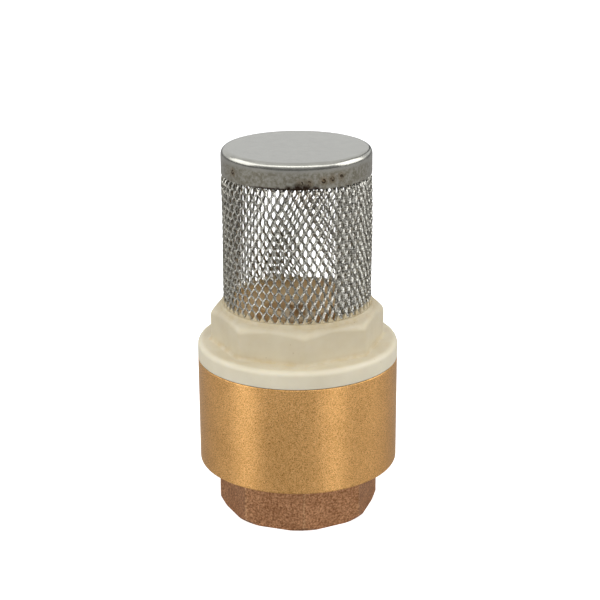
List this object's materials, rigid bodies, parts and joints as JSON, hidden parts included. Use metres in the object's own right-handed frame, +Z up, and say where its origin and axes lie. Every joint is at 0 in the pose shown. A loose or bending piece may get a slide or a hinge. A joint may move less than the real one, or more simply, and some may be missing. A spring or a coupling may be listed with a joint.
{
  "type": "foot valve with strainer",
  "caption": "Spring foot valve: brass body with octagonal threaded outlet, nylon inlet cap and stainless mesh strainer basket.",
  "frame": {"origin": "centre of the outlet end face, at the bottom of the object", "axes": "+Z up the valve's axis from the outlet to the strainer's end cap; -Y is the front"},
  "size_m": [0.05, 0.05, 0.0933],
  "materials": {
    "brass_body": "fine sand-blasted cylinder, darker as-cast octagon",
    "nylon_cap": "natural moulded nylon, satin",
    "strainer_steel": "expanded stainless sheet, bright sheared strands",
    "end_cap_steel": "pressed stainless, satin, heat marks at the spot welds",
    "weld_steel": "spot weld nugget, oxidised brown",
    "brass_disc": "turned",
    "steel_hardware": "turned and pressed stainless",
    "spring_steel": "drawn spring wire",
    "nitrile": "moulded, matt",
    "acetal": "natural moulded acetal"
  },
  "bodies": {
    "valve": {"valve_body": "brass_body", "outlet_gasket": "nitrile", "lower_guide_bush": "acetal", "spring_seat_washer": "steel_hardware", "closing_spring": "spring_steel"},
    "cap_seal": {"cap_gasket": "nitrile"},
    "inlet_unit": {"inlet_cap": "nylon_cap", "upper_guide_bush": "acetal", "strainer_mesh": "strainer_steel", "strainer_end_cap": "end_cap_steel", "cap_spot_weld_1": "weld_steel", "cap_spot_weld_2": "weld_steel", "cap_spot_weld_3": "weld_steel", "cap_spot_weld_4": "weld_steel", "cap_spot_weld_5": "weld_steel", "cap_spot_weld_6": "weld_steel", "cap_spot_weld_7": "weld_steel", "cap_spot_weld_8": "weld_steel", "seam_spot_weld_1": "weld_steel", "seam_spot_weld_2": "weld_steel", "seam_spot_weld_3": "weld_steel"},
    "poppet": {"poppet_stem": "steel_hardware", "poppet_disc": "brass_disc", "poppet_seal": "nitrile", "seal_retainer": "steel_hardware", "disc_backing_washer": "steel_hardware", "stem_lock_washer": "steel_hardware", "stem_nut": "steel_hardware", "stem_circlip": "steel_hardware"}
  },
  "joints": [
    {"name": "poppet_slide", "type": "slide", "parent": "valve", "child": "poppet", "axis": [0, 0, -1], "range_m": [0, 0.006], "stiffness_N_per_m": 500, "springref_m": -0.003, "deforming": ["closing_spring"]},
    {"name": "cap_lift", "type": "slide", "parent": "valve", "child": "cap_seal", "axis": [0, 0, 1], "range_m": [0, 0.00825]},
    {"name": "cap_turn", "type": "hinge", "parent": "cap_seal", "child": "inlet_unit", "pos_m": [0, 0, 0.045], "axis": [0, 0, 1], "range_deg": [0, 990]}
  ],
  "couplings": [
    {"joint": "cap_lift", "follows": "cap_turn", "m_per_rad": 0.00047746}
  ]
}
